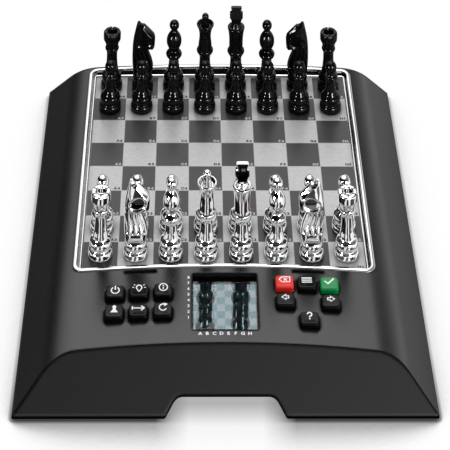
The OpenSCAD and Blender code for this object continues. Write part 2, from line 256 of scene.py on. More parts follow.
def metal(name, colour, rough, scratch=0.02, brushed=None, grain=900.0):
    """Plated or brushed metal with faint wear in its gloss."""
    mat, t = material(name)
    wear = t.noise(grain, 4.0, 0.6, brushed)
    smear = t.noise(60.0, 2.0)
    worn = t.span(wear, 0.3, 0.75, rough, rough + scratch)
    plate = t.add(
        "ShaderNodeBsdfPrincipled",
        Base_Color=t.mix(t.spread(smear, 0.0, 0.06), colour, 0.3),
        Metallic=1.0,
        Roughness=t.plus(worn, t.spread(smear, 0.0, 0.01)),
        Normal=t.bump(wear, (0.006 if brushed else 0.0008) * MM, 0.25),
    )
    t.hidden_behind_display(plate)
    return mat


def gloss(name, colour, rough=0.05, coat=1.0, ior=1.5):
    """Polished plastic under a clear skin, with a trace of orange peel."""
    mat, t = material(name)
    peel = t.noise(420.0, 2.0)
    t.principled(
        Base_Color=t.mix(t.spread(peel), colour, tuple(c * 1.15 for c in colour)),
        Roughness=t.spread(peel, rough, rough + 0.03),
        IOR=ior,
        Coat_Weight=coat,
        Coat_Roughness=0.02,
        Normal=t.bump(peel, 0.004 * MM, 0.3),
    )
    return mat


def casing():
    """Satin black plastic with softened edges, and a painted highlight: a fine pale line over the parting
    line.
    Below the parting line it is duller and darker; in creases and hollows its gloss is turned down, a painted
    shade."""
    mat, t = material("casing_plastic")
    x, y, z = t.split(t.place())
    slow = t.noise(14.0, 3.0)
    fine = t.noise(3600.0, 3.0, 0.6)
    above = t.span(z, PARTING_Z, PARTING_Z + 0.5 * MM)
    # painted highlight: a fine pale line just above the parting line
    painted_parting_highlight = t.span(z, PARTING_Z + 0.5 * MM, PARTING_Z + 0.7 * MM)
    painted_parting_highlight = t.times(painted_parting_highlight, t.span(z, PARTING_Z + 1.6 * MM, PARTING_Z + 1.1 * MM))
    soft = t.add("ShaderNodeBevel", {"samples": 8}, Radius=3.2 * MM)
    flat = t.add("ShaderNodeNewGeometry", out=TRUE_NORMAL)
    turned_by = t.vector_math("DOT_PRODUCT", soft, flat, out=1)
    # painted shade: the gloss is turned down on the rounded edges and in hollows
    painted_crease_shade = t.span(turned_by, 0.93, 0.99)
    hollow = t.power(t.openness(3.5 * MM, 6), 2.0)
    gloss_kept_from_painted_shade = t.times(above, t.times(painted_crease_shade, hollow))
    # darker below the parting line, with a slow random drift above it
    above_with_drift = t.times(above, t.spread(slow, 0.85, 1.0))
    tone = t.mix(above_with_drift, (0.0015, 0.0015, 0.0016), (0.0068, 0.0068, 0.0071))
    plastic = t.add(
        "ShaderNodeBsdfPrincipled",
        Base_Color=t.mix(painted_parting_highlight, tone, 0.022),
        Roughness=t.plus(t.spread(slow, 0.25, 0.29), t.spread(fine, -0.03, 0.03)),
        Specular_IOR_Level=t.span(gloss_kept_from_painted_shade, 0.0, 1.0, 0.02, 0.72),
        Normal=t.add("ShaderNodeBump", Height=fine, Distance=0.014 * MM, Strength=0.6, Normal=soft),
    )
    t.hidden_behind_display(plastic)
    return mat


CASING = casing()
COVER = moulded("cover_plastic", (0.03, 0.03, 0.031), 0.45, 1800.0, 0.03)


def chrome():
    """Bright plating whose colour holds a painted reflection of white card strips and dark gaps round it;
    below the horizon, where it would mirror the table, the camera sees them glow. Seen in another mirror, it
    is painted dark."""
    mat, t = material("chrome_plate")
    path = t.light_path()
    wear = t.noise(900.0, 4.0, 0.6)
    towards = t.add("ShaderNodeTexCoord", out=MIRRORED)
    rx, ry, rz = t.split(towards)
    waves = t.noise(2.3, 1.0, at=towards)
    side = t.span(t.plus(rx, t.times(t.minus(waves, 0.5), 0.5)), -1.0, 1.0)
    # painted reflection: white card strips and dark gaps, laid out by the mirrored direction
    painted_cards = t.ramp(side, [
        (0.0, 0.8), (0.05, 0.9), (0.075, 0.0), (0.25, 0.0), (0.28, 1.0), (0.36, 1.0), (0.39, 0.0),
        (0.55, 0.0), (0.575, 1.0), (0.66, 1.0), (0.69, 0.0), (0.87, 0.0), (0.9, 1.0), (1.0, 0.8)])
    painted_cards = t.mix(t.span(rz, -0.66, -0.74), painted_cards, t.span(waves, 0.42, 0.58, 0.12, 0.7))
    down = t.span(rz, 0.12, -0.05)
    # below the horizon the painted card strips glow for the camera
    shown = t.times(t.times(down, path["Is Camera Ray"]), 0.75)
    bright = t.mix(shown, (0.93, 0.93, 0.935), t.mix(painted_cards, 0.07, (0.5, 0.5, 0.505)))
    t.principled(
        # painted reflection: a dark tint when seen in another mirror
        Base_Color=t.mix(path["Is Glossy Ray"], bright, (0.06, 0.072, 0.066)),
        Metallic=1.0,
        Roughness=t.span(wear, 0.3, 0.75, 0.02, 0.035),
        Normal=t.bump(wear, 0.0008 * MM, 0.25),
        Emission_Color=t.mix(painted_cards, 0.0, 1.0),
        Emission_Strength=shown,
    )
    return mat


CHROME = chrome()
TRIM = metal("trim_plate", (0.84, 0.845, 0.855), 0.13, 0.05)


def brushed_slope():
    """The frame's inner slope: satin plating, brushed across on the slant. Painted shade makes it dark except
    where it faces right, and in its corners.
    """
    mat, t = material("trim_satin")
    slant = math.radians(52)
    turned = t.add("ShaderNodeVectorRotate", {"rotation_type": "Z_AXIS"}, Vector=t.place(), Angle=slant)
    brush = t.noise(700.0, 3.0, 0.6, (0.06, 1.0, 1.0), at=turned)
    nx, ny, nz = t.split(t.add("ShaderNodeNewGeometry", out=TRUE_NORMAL))
    # painted shade: only faces turned to the right (+X) keep the pale satin, the rest are dark
    sides = t.span(nx, 0.1, 0.3)
    # painted shade in the corners
    corner = t.power(t.openness(1.2 * MM, 6), 2.5)
    satin = t.mix(t.span(brush, 0.32, 0.68), (0.45, 0.45, 0.455), (0.72, 0.72, 0.725))
    t.principled(
        Base_Color=t.mix(t.times(corner, sides), 0.012, satin),
        Metallic=t.span(sides, 0.0, 1.0, 1.0, 0.6),
        Roughness=t.times(t.spread(brush, 0.2, 0.3), t.span(sides, 0.0, 1.0, 0.5, 1.0)),
        Normal=t.bump(brush, 0.008 * MM, 0.3),
    )
    return mat


SLOPE = brushed_slope()
BLACK_GLOSS = gloss("black_gloss", (0.0012, 0.0012, 0.0013), 0.03, 0.0, 1.32)
KEY_BLACK = moulded("key_black", (0.0022, 0.0022, 0.0025), 0.24, 2600.0, 0.006, spec=0.2)
KEY_RED = moulded("key_red", (0.74, 0.02, 0.013), 0.3, 2600.0, 0.006, 0.05)
KEY_GREEN = moulded("key_green", (0.0, 0.24, 0.06), 0.3, 2600.0, 0.006, 0.05)
RUBBER = moulded("foot_rubber", (0.009, 0.009, 0.009), 0.8, 2200.0, 0.03)
SILICONE = moulded("keypad_silicone", (0.16, 0.165, 0.17), 0.6, 1500.0, 0.01)
JACK = moulded("jack_plastic", (0.006, 0.006, 0.0065), 0.45, 2600.0)
SCREW = metal("screw_zinc", (0.56, 0.56, 0.58), 0.25, 0.2, grain=1500.0)
CONTACT = metal("contact_nickel", (0.74, 0.73, 0.7), 0.22, 0.15, brushed=(1.0, 1.0, 12.0))
SPEAKER = moulded("speaker_lacquer", (0.02, 0.02, 0.022), 0.35, 900.0)


def ink(name, first, second, low=0.0, high=1.0):
    """Printed grey with a fine speck between two tones."""
    mat, t = material(name)
    speck = t.noise(2600.0, 2.0)
    t.principled(
        Base_Color=t.mix(t.span(speck, low, high), first, second),
        Roughness=t.spread(speck, 0.4, 0.55),
    )
    return mat


INK = ink("print_white", 0.82, 0.93, 0.35, 0.65)


def board_print():
    """Satin film printed with the squares, brushed across, with a fine pale line round each square, and a
    painted shadow round what stands on it.
    """
    mat, t = material("board_print")
    x, y, z = t.split(t.place())
    u = t.math("DIVIDE", t.minus(x, board_centre.x), SQUARE)
    v = t.math("DIVIDE", t.minus(y, board_centre.y), SQUARE)
    odd = t.odd_square(u, v)
    edge_u = t.absolute(t.minus(t.math("FRACT", u), 0.5))
    edge_v = t.absolute(t.minus(t.math("FRACT", v), 0.5))
    line = t.span(t.math("MAXIMUM", edge_u, edge_v), 0.486, 0.492)
    brush = t.noise(1500.0, 3.0, 0.65, (0.25, 1.0, 1.0))
    cloud = t.noise(24.0, 3.0)
    light = t.mix(t.spread(brush), (0.43, 0.43, 0.435), (0.55, 0.55, 0.555))
    dark = t.mix(t.spread(brush), (0.017, 0.017, 0.018), (0.026, 0.026, 0.027))
    squares = t.mix(odd, dark, light)
    lined = t.mix(t.times(line, 0.45), squares, 0.5)
    # painted shadow: darker where something within 7 mm hides the sky, as round the men's feet
    painted_contact_shadow = t.power(t.openness(7 * MM, 8), 1.5)
    t.principled(
        Base_Color=t.mix(painted_contact_shadow, 0.004, t.mix(t.times(cloud, 0.06), lined, 0.6)),
        Metallic=t.times(odd, 0.25),
        Roughness=t.spread(brush, 0.27, 0.36),
        Specular_IOR_Level=0.4,
        Normal=t.bump(brush, 0.006 * MM, 0.3),
    )
    return mat


def lcd_glass():
    """A reflective display: a mirror-like back, with the faint pattern of an eight by eight board."""
    mat, t = material("lcd_face")
    x, y, z = t.split(t.place())
    cx, cy = (lcd_low.x + lcd_high.x) / 2, (lcd_low.y + lcd_high.y) / 2
    wide, deep = lcd_high.x - lcd_low.x - 2 * MM, lcd_high.y - lcd_low.y - 2 * MM
    u = t.times(t.minus(x, cx), 8 / wide)
    v = t.times(t.minus(y, cy), 8 / deep)
    odd = t.odd_square(u, v)
    fine = t.math("FLOORED_MODULO", t.math("FLOOR", t.times(x, 3200.0)), 2.0)
    tint = t.mix(odd, (0.13, 0.2, 0.22), (0.27, 0.29, 0.31))
    inside = t.math("MAXIMUM", t.absolute(u), t.absolute(v))
    bezel = t.span(inside, 3.86, 3.88)
    face = t.mix(t.times(fine, 0.08), tint, (0.3, 0.34, 0.36))
    t.principled(
        Base_Color=t.mix(bezel, face, 0.003),
        Metallic=t.span(bezel, 0.0, 1.0, 0.93, 0.0),
        Roughness=0.04,
    )
    return mat


def clear_window():
    """Thin clear plastic: light passes straight through, and the skin mirrors the room."""
    mat, t = material("window_clear")
    speck = t.noise(200.0, 2.0)
    facing = t.add("ShaderNodeLayerWeight", out=1, Blend=0.5)
    outside = t.minus(1.0, t.add("ShaderNodeNewGeometry", out=BACK_FACE))
    fresnel = t.times(t.math("MULTIPLY_ADD", t.power(facing, 5.0), 0.95, 0.05), outside)
    through = t.add("ShaderNodeBsdfTransparent", Color=(0.93, 0.955, 0.96))
    skin = t.add("ShaderNodeBsdfGlossy", Color=1.0, Roughness=t.spread(speck, 0.01, 0.03))
    t.surface(t.blend(fresnel, through, skin))
    return mat


def circuit_board():
    """Green lacquer over square-cornered copper."""
    mat, t = material("circuit_green")
    right_angled = {"distance": "CHEBYCHEV", "feature": "DISTANCE_TO_EDGE"}
    tracks = t.add("ShaderNodeTexVoronoi", right_angled, Vector=t.place(), Scale=420.0)
    copper = t.span(tracks, 0.04, 0.07, 1.0, 0.0)
    t.principled(
        Base_Color=t.mix(copper, (0.006, 0.07, 0.03), (0.02, 0.15, 0.06)),
        Roughness=t.span(copper, 0.0, 1.0, 0.3, 0.2),
        Normal=t.bump(copper, 0.03 * MM),
    )
    return mat


def cell_jacket():
    """Sleeved cells: a dark sleeve, and bare steel at the two ends."""
    mat, t = material("cell_sleeve")
    x, y, z = t.split(t.place())
    scuff = t.noise(800.0, 3.0, 0.6, (0.2, 1.0, 1.0))
    end = t.span(t.absolute(x), 22.2 * MM, 22.4 * MM)
    t.principled(
        Base_Color=t.mix(end, (0.03, 0.05, 0.09), 0.6),
        Metallic=t.span(end, 0.0, 1.0, 0.3, 1.0),
        Roughness=t.spread(scuff, 0.22, 0.4),
    )
    return mat


BOARD_PRINT = board_print()
LCD_FACE = lcd_glass()
WINDOW = clear_window()
CIRCUIT = circuit_board()
CELL = cell_jacket()

# ---- meshes


def new_mesh(name, verts, faces, mat, smooth):
    """A mesh from points in metres, shaded smooth up to an angle in degrees."""
    mesh = bpy.data.meshes.new(name)
    mesh.from_pydata(verts, [], faces)
    mesh.validate()
    mesh.polygons.foreach_set("use_smooth", [True] * len(mesh.polygons))
    mesh.set_sharp_from_angle(angle=math.radians(smooth))
    mesh.materials.append(mat)
    return mesh


def new_object(name, data):
    thing = bpy.data.objects.new(name, data)
    bpy.context.scene.collection.objects.link(thing)
    return thing


def place_piece(name, mesh, at, body):
    """A mesh as a piece on a body."""
    piece = new_object(name, mesh)
    piece.location = at
    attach(piece, body)
    return piece


def mesh_piece(name, verts, faces, mat, body, smooth=30.0):
    return place_piece(name, new_mesh(name, verts, faces, mat, smooth), Vector(), body)


def curve_through(points, step=0.3):
    """Points along a smooth curve through the given ones, about a step apart."""
    p = [np.array(q, float) for q in points]
    if len(p) == 2:
        n = max(1, int(np.linalg.norm(p[1] - p[0]) / 2.0))
        return [p[0] + (p[1] - p[0]) * i / n for i in range(n + 1)]
    p = [2 * p[0] - p[1]] + p + [2 * p[-1] - p[-2]]
    out = []
    for a, b, c, d in zip(p, p[1:], p[2:], p[3:]):
        t1 = np.linalg.norm(b - a) ** 0.5
        t2 = t1 + np.linalg.norm(c - b) ** 0.5
        t3 = t2 + np.linalg.norm(d - c) ** 0.5
        n = max(2, int(np.linalg.norm(c - b) / step))
        for i in range(n):
            t = t1 + (t2 - t1) * i / n
            ab = a + (b - a) * (t / t1)
            bc = b + (c - b) * ((t - t1) / (t2 - t1))
            cd = c + (d - c) * ((t - t2) / (t3 - t2))
            abc = ab + (bc - ab) * (t / t2)
            bcd = bc + (cd - bc) * ((t - t1) / (t3 - t1))
            out.append(abc + (bcd - abc) * ((t - t1) / (t2 - t1)))
    out.append(p[-2])
    return out


def outline(strokes):
    """One list of points from several strokes. Strokes meet at a corner."""
    out = []
    for stroke in strokes:
        points = curve_through(stroke)
        out += points if not out else points[1:]
    return out


def bridge(first, count, rings):
    """Faces between closed rings of count points that follow one another."""
    faces = []
    for a in range(first, first + (rings - 1) * count, count):
        b = a + count
        faces += [(a + i, a + (i + 1) % count, b + (i + 1) % count, b + i) for i in range(count)]
    return faces


def lathe(points, turns=72):
    """Verts and faces of a turned shape, from (radius, height) points that start and end on the axis."""
    verts = [(0.0, 0.0, points[0][1])]
    rings = points[1:-1]
    for r, z in rings:
        for i in range(turns):
            a = 2 * math.pi * i / turns
            verts.append((r * math.cos(a), r * math.sin(a), z))
    last = len(verts)
    verts.append((0.0, 0.0, points[-1][1]))
    top = last - turns
    faces = bridge(1, turns, len(rings))
    for i in range(turns):
        j = (i + 1) % turns
        faces += [(0, 1 + j, 1 + i), (top + i, top + j, last)]
    return verts, faces


def foot(neck):
    """The foot all the men share: a disc, a groove, a round moulding and a flare up to the neck."""
    return [
        [(0, 0), (7.9, 0)],
        [(7.9, 0), (8.4, 0.25), (8.6, 0.9), (8.65, 2.4), (8.45, 3.8), (7.9, 4.7), (7.3, 5.1)],
        [(7.3, 5.1), (7.05, 5.55), (7.0, 6.0), (7.2, 6.5)],
        [(7.2, 6.5), (7.65, 7.1), (7.9, 8.3), (7.8, 9.7), (7.3, 10.9), (6.6, 11.6)],
        [(6.6, 11.6), (6.1, 12.0), (5.6, 12.8), (neck + 0.75, 14.8), (neck + 0.2, 17.0), (neck, 19)],
    ]


def ball(r, z, start, tall=1.0, steps=24):
    """An arc of a ball, from radius start below its middle up to its top."""
    low = -math.acos(min(1, start / r))
    turns = [low + (math.pi / 2 - low) * i / steps for i in range(steps + 1)]
    return [(r * math.cos(a), z + tall * r * math.sin(a)) for a in turns]


def pawn():
    head = ball(4.55, 32.4, 3.0, tall=1.08)
    strokes = foot(3.6) + [
        [(3.6, 19), (3.3, 21), (3.2, 23), (3.6, 24.2), (4.5, 24.9)],
        [(4.5, 24.9), (4.9, 25.4), (4.9, 26.0), (4.4, 26.5), (3.5, 26.8)],
        [(3.5, 26.8), (3.05, 27.6), head[0]],
    ]
    return lathe(outline(strokes) + head[1:])


def bishop():
    head = ball(3.9, 49.7, 2.2)
    strokes = foot(4.1) + [
        [(4.1, 19), (4.0, 20.6), (4.05, 22.4), (4.8, 23.9), (5.9, 25.3), (6.35, 26.4)],
        [(6.35, 26.4), (6.4, 27.2), (5.9, 28.1), (4.9, 29.2), (4.05, 30.4), (4.05, 31.1), (4.8, 32.8),
         (5.7, 35), (6.0, 37.2), (5.7, 39.8), (4.6, 42.4), (3.2, 44.3), (2.4, 45.5), head[0]],
    ]
    return lathe(outline(strokes) + head[1:])


def queen():
    strokes = foot(4.4) + [
        [(4.4, 19), (4.25, 21.5), (4.25, 24.4), (4.8, 26.4), (5.9, 28.1), (6.5, 29.1)],
        [(6.5, 29.1), (6.65, 29.9), (6.4, 30.8), (5.6, 31.5)],
        [(5.6, 31.5), (5.35, 32.6), (5.25, 35), (4.8, 38.6), (4.6, 41.2), (4.8, 44.2), (5.5, 47.2),
         (6.45, 49.4)],
        [(6.45, 49.4), (6.85, 50.0), (6.95, 50.7), (6.6, 51.2), (6.0, 51.1)],
        [(6.0, 51.1), (5.3, 50.0), (4.5, 49.0), (3.6, 48.8)],
        [(3.6, 48.8), (3.2, 50.2), (2.9, 52.0), (2.6, 54.0), (2.65, 55.4), (2.75, 56.4), (2.45, 57.8),
         (1.5, 58.8), (0, 59.1)],
    ]
    return lathe(outline(strokes))


def king():
    strokes = foot(4.6) + [
        [(4.6, 19), (4.45, 21.5), (4.45, 23.6), (5.0, 25.6), (6.1, 27.5), (6.75, 28.6)],
        [(6.75, 28.6), (6.9, 29.4), (6.6, 30.3), (5.8, 31.0)],
        [(5.8, 31.0), (5.55, 32.4), (5.5, 36), (5.6, 40), (6.0, 44), (6.6, 47.2)],
        [(6.6, 47.2), (6.85, 47.9), (6.8, 48.6), (6.3, 49.1)],
        [(6.3, 49.1), (5.6, 48.7), (4.9, 48.8), (4.2, 49.9), (3.5, 51.6), (2.2, 52.4), (0, 52.6)],
    ]
    verts, faces = lathe(outline(strokes))
    half = [(0, 48.5), (3.7, 48.5), (3.55, 50.6), (3.8, 53.4), (4.4, 55.2), (5.2, 55.9), (5.25, 58),
            (5.2, 60.1), (3.9, 60.8), (3.5, 61.5), (3.8, 62.6), (4.3, 63.6), (4.1, 64.3), (3.0, 64.5),
            (0, 64.55)]
    add_plate(verts, faces, half, thick=1.85, round_r=0.45)
    return verts, faces


def add_plate(verts, faces, half, thick, round_r):
    """A flat plate with rounded edges. half is its outline's right-hand half, from bottom to top."""
    loop = half[1:-1] + [half[-1]] + [(-x, z) for x, z in reversed(half[1:-1])] + [half[0]]
    front = [(thick - round_r, 0.0), (thick - 0.12, 0.28), (thick, round_r)]
    sections = [(-y, inset) for y, inset in reversed(front)] + front
    first = len(verts)
    count = len(loop)
    for y, inset in sections:
        for i, (x, z) in enumerate(loop):
            before, after = loop[i - 1], loop[(i + 1) % count]
            tx, tz = after[0] - before[0], after[1] - before[1]
            length = math.hypot(tx, tz) or 1
            verts.append((x - inset * tz / length, y, z + inset * tx / length))
    faces += bridge(first, count, len(sections))
    faces.append(tuple(reversed(range(first, first + count))))
    faces.append(tuple(range(len(verts) - count, len(verts))))


def rook():
    """A turned tower whose cup has six notches in its rim."""
    strokes = foot(4.5) + [
        [(4.5, 19), (4.25, 22), (4.15, 26), (4.3, 28.6), (4.8, 30.2)],
        [(4.8, 30.2), (5.3, 30.7), (5.5, 31.6), (5.3, 32.5), (4.8, 33.0)],
        [(4.8, 33.0), (5.0, 34.4), (5.5, 36.2), (5.7, 37.4)],
        [(5.7, 37.4), (6.4, 37.9), (6.8, 38.7), (6.9, 40.2), (6.95, 42.6), (6.9, 43.6), (6.6, 44.2),
         (6.1, 44.5)],
        [(6.1, 44.5), (5.2, 44.6), (4.3, 44.5)],
        [(4.3, 44.5), (3.9, 44.1), (3.75, 43.2), (3.7, 41.4), (3.4, 40.4), (2.6, 40.1)],
        [(2.6, 40.1), (0, 40.0)],
    ]
    points = outline(strokes)
    notches, half_gap, wall = 6, 0.09, 0.004
    cup_r, floor_z = 3.7, 43.2
    pitch = 2 * math.pi / notches
    between = 9
    merlon = (pitch - 2 * half_gap - 2 * wall) / between
    angles = []
    for k in range(notches):
        mid = pitch * (k + 0.5)
        end = mid + half_gap + wall
        angles += [mid - half_gap - wall, mid - half_gap, mid, mid + half_gap, end]
        angles += [end + merlon * i for i in range(1, between)]
    per_notch = len(angles) // notches
    verts, faces = lathe(points, len(angles))
    out = [verts[0]]
    for r, z in points[1:-1]:
        for i, a in enumerate(angles):
            cut = i % per_notch in (1, 2, 3) and r > cup_r and z > floor_z
            out.append((r * math.cos(a), r * math.sin(a), floor_z if cut else z))
    return out + [verts[-1]], faces


# Rows of the knight's side view, from the foot to the ear: the back's point, the front's point, and half
# the thickness at the back's edge, at the front's edge and in the middle
KNIGHT_ROWS = [
    ((-6.7, 10.4), (6.8, 10.4), 3.6, 3.6, 6.5),
    ((-7.2, 12.4), (7.3, 12.4), 3.5, 3.5, 6.5),
    ((-7.9, 17.2), (8.2, 17.2), 2.9, 2.9, 5.9),
    ((-8.15, 22.5), (7.0, 22.3), 2.5, 2.3, 5.6),
    ((-8.15, 27.5), (5.2, 26.8), 2.3, 1.9, 5.2),
    ((-8.0, 31.8), (3.5, 30.9), 2.2, 1.6, 4.9),
    ((-7.95, 33.0), (5.4, 31.2), 2.2, 1.5, 4.8),
    ((-7.85, 34.6), (7.7, 30.9), 2.1, 1.5, 4.7),
    ((-7.75, 36.0), (9.0, 32.2), 2.0, 1.6, 4.6),
    ((-7.4, 38.6), (9.3, 36.0), 2.0, 1.6, 4.5),
    ((-7.0, 41.0), (9.5, 39.8), 1.9, 1.6, 4.3),
    ((-6.6, 43.0), (9.0, 42.4), 1.8, 1.6, 4.1),
    ((-6.1, 45.0), (6.5, 44.9), 1.7, 1.6, 3.7),
    ((-5.6, 47.2), (3.6, 47.7), 1.6, 1.6, 3.2),
    ((-5.1, 49.2), (1.0, 50.2), 1.5, 1.5, 2.6),
    ((-4.8, 50.4), (-0.8, 50.3), 1.3, 1.3, 2.1),
    ((-4.5, 51.6), (-1.9, 51.2), 1.1, 1.0, 1.6),
    ((-4.1, 52.7), (-2.9, 52.6), 0.8, 0.7, 1.0),
]


def smoothed(values, passes):
    """Each row moved towards its neighbours' middle, passes times over."""
    v = np.array(values, float)
    for _ in range(passes):
        v[1:-1] = (v[:-2] + 2 * v[1:-1] + v[2:]) / 4
    return v


def step(value, a, b):
    """0 up to a, 1 from b on, and a smooth rise between."""
    t = np.clip((value - a) / (b - a), 0, 1)
    return t * t * (3 - 2 * t)


def knight():
    """A horse's head facing +X on the common foot, with flat cheeks and waved flutes down the neck."""
    dense, across = 9, 52
    flat = np.array([[*a, *b, c, d, e] for a, b, c, d, e in KNIGHT_ROWS], float)
    rows = []
    for a, b in zip(flat, flat[1:]):
        rows += [a + (b - a) * i / dense for i in range(dense)]
    rows = np.array(rows + [flat[-1]])
    rows[:, :2] = smoothed(rows[:, :2], 60)
    rows[:, 2:4] = smoothed(rows[:, 2:4], 5)
    rows[:, 4:] = smoothed(rows[:, 4:], 30)
    u = np.linspace(0, 1, across)
    x = rows[:, 0:1] + (rows[:, 2:3] - rows[:, 0:1]) * u
    z = rows[:, 1:2] + (rows[:, 3:4] - rows[:, 1:2]) * u
    d_back = np.min(np.hypot(x[..., None] - rows[:, 0], z[..., None] - rows[:, 1]), axis=2)
    d_front = np.min(np.hypot(x[..., None] - rows[:, 2], z[..., None] - rows[:, 3]), axis=2)
    mid = rows[:, 6:7]
    head = step(z, 31.5, 33.5)
    t_back = np.clip(d_back / 5.0, 0, 1)
    round_back = np.sqrt(1 - (1 - t_back) ** 2)
    t_front = np.clip(d_front / (5.2 - 2.8 * head), 0, 1)
    round_front = np.sqrt(1 - (1 - t_front) ** 2) * (1 - head) + t_front * head
    e_back, e_front = rows[:, 4:5] / mid, rows[:, 5:6] / mid
    y = mid * (e_back + (1 - e_back) * round_back) * (e_front + (1 - e_front) * round_front)
    # the cheek stands out from the neck along the jaw
    jaw = 32.0 + 0.05 * (x - 2) ** 2 * (x < 2)
    cheek = step(z, jaw - 0.5, jaw + 0.5) * step(x, -6.2, -3.6) * (1 - step(z, 38, 46))
    y += 0.75 * cheek * np.clip(t_front * 1.4, 0, 1)
    # the hollow of the cheek
    dish = np.hypot((x - 1.0 - 0.25 * (z - 38.0)) / 6.9, (z - 38.0) / 4.9)
    y -= 0.9 * (1 - step(dish, 0.7, 1.0))
    # flutes
    t = np.clip((z - 17.5) / 15.0, 0, 1)
    spacing = 4.1 - 1.0 * t
    phase = (x - (-0.1 - 2.4 * t + 0.6 * np.sin(2 * np.pi * t))) / spacing
    below_jaw = 1 - step(z, jaw - 1.4, jaw - 0.4)
    fluted = step(z, 17.4, 18.6) * below_jaw * (1 - step(np.abs(phase), 1.45, 1.75))
    y -= 1.2 * fluted * (0.5 - 0.5 * np.cos(2 * np.pi * phase)) ** 3
    # the strands' rounded tips
    strand = (0.5 + 0.5 * np.cos(2 * np.pi * phase)) * (np.abs(phase) < 1.5)
    y += 1.9 * strand ** 0.5 * step(z, 17.3, 18.9) * (1 - step(z, 18.6, 25.0))
    # the flat at the foot of the neck, a little undercut
    flat_y = 5.5 + (z - 11.5) * 0.15
    y = np.where(z < 17.4, np.minimum(y, flat_y), y)
    verts, faces = lathe(outline(foot(4.4)[:4] + [[(6.6, 11.6), (0, 11.8)]]))
    base = len(verts)
    band = 5
    swell = [(math.sin(math.pi * j / band) ** 0.8, 2 * j / band) for j in range(1, band)]
    for px, py, pz in zip(x, y, z):
        ring = list(zip(px, -py, pz))
        ring += [(px[-1] + 0.25 * out, py[-1] * (over - 1), pz[-1]) for out, over in swell]
        ring += list(zip(px, py, pz))[::-1]
        ring += [(px[0] - 0.45 * out, py[0] * (1 - over), pz[0]) for out, over in swell]
        verts += ring
    count = len(ring)
    faces += bridge(base, count, len(rows))
    faces.append(tuple(reversed(range(base, base + count))))
    faces.append(tuple(range(len(verts) - count, len(verts))))
    return verts, faces


def mirrored(shape):
    verts, faces = shape
    return [(-x, y, z) for x, y, z in verts], [tuple(reversed(f)) for f in faces]


SHAPES = {shape.__name__: shape() for shape in (pawn, bishop, queen, king, rook, knight)}
SHAPES["knight_left"] = mirrored(SHAPES["knight"])


FOOT_R = 8.6 * MM  # of the CAD's men: a knight's nose stands out past its foot
for side, mat, slot in (("white", CHROME, "men_bright"), ("black", BLACK_GLOSS, "men_black")):
    meshes = {}
    for kind, (verts, faces) in SHAPES.items():
        in_metres = [(x * MM, y * MM, z * MM) for x, y, z in verts]
        meshes[kind] = new_mesh(f"{side}_{kind}", in_metres, faces, mat, 32)
    for node in sorted(frame["nodes"]):
        if not node.startswith(side):
            continue
        kind = node.split("_")[1]
        if kind == "knight" and node.endswith("_g"):
            kind = "knight_left"
        low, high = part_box(node)
        at = Vector(((low.x + high.x) / 2, (low.y + high.y) / 2, low.z))
        if kind == "knight":
            at.x = low.x + FOOT_R
        elif kind == "knight_left":
            at.x = high.x - FOOT_R
        piece = place_piece(f"{node}_man", meshes[kind], at, node)
        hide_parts(node)

# ---- the bright frame


def rounded_path(half_x, half_y, r, per_side, per_corner):
    """Points round a rounded rectangle, anticlockwise, each with its outward direction."""
    out = []
    signs = [(1, 1), (-1, 1), (-1, -1), (1, -1)]
    centres = [(sx * (half_x - r), sy * (half_y - r)) for sx, sy in signs]
    for k, (cx, cy) in enumerate(centres):
        for i in range(per_corner):
            a = math.radians(90 * k + 90 * i / per_corner)
            out.append((cx + r * math.cos(a), cy + r * math.sin(a), math.cos(a), math.sin(a)))
        a = math.radians(90 * k + 90)
        nx, ny = math.cos(a), math.sin(a)
        to_x, to_y = centres[(k + 1) % 4]
        for i in range(per_side):
            x, y = cx + (to_x - cx) * i / per_side, cy + (to_y - cy) * i / per_side
            out.append((x + r * nx, y + r * ny, nx, ny))
    return out


def board_frame():
    """A bright bead on the dome, a satin slope down to the board, and a low rim round the squares."""
    half = (frame_high.x - frame_low.x) / 2
    cy = (frame_high.y + frame_low.y) / 2
    # from outside to inside: distance in, height over the surface, and that surface's share of the way down
    # from the dome to the board
    bead = [(0.0, -0.5, 0), (0.0, 0.02, 0), (-0.75, 0.02, 0), (-0.75, 0.12, 0), (-0.6, 0.42, 0),
            (-0.2, 0.72, 0), (0.45, 0.92, 0), (1.2, 0.98, 0), (1.85, 0.86, 0), (2.3, 0.6, 0), (2.5, 0.3, 0),
            (2.6, -0.1, 0.02)]
    slope = [(2.8, -0.5, 0.08), (4.0, -0.5, 0.7)]
    rim = [(4.15, -0.1, 0.76), (4.25, 0.2, 0.8), (4.55, 0.42, 0.86), (4.95, 0.46, 0.92), (5.3, 0.34, 0.96),
           (5.5, 0.1, 0.99), (5.55, 0.0, 1.0), (5.55, -0.3, 1.0)]
    section = bead + slope + rim
    path = rounded_path(half, half, 6.5 * MM, 60, 16)
    verts, faces = [], []
    for px, py, nx, ny in path:
        for inset, rise, down in section:
            x = px - nx * inset * MM
            y = py - ny * inset * MM
            top = roof(x)
            z = top + (BOARD_Z + 0.25 * MM - top) * down + rise * MM
            verts.append((x, cy + y, z))
    n, m = len(path), len(section)
    for i in range(n):
        for k in range(m - 1):
            a, b = i * m + k, ((i + 1) % n) * m + k
            faces.append((a, b, b + 1, a + 1))
        a, b = i * m, ((i + 1) % n) * m
        faces.append((a + m - 1, b + m - 1, b, a))
    piece = mesh_piece("bright_frame", verts, faces, TRIM, "casing", 40)
    piece.data.materials.append(SLOPE)
    for face in piece.data.polygons:
        face.material_index = int(face.index % m == len(bead))
    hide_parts("board_frame")


board_frame()

# ---- keys


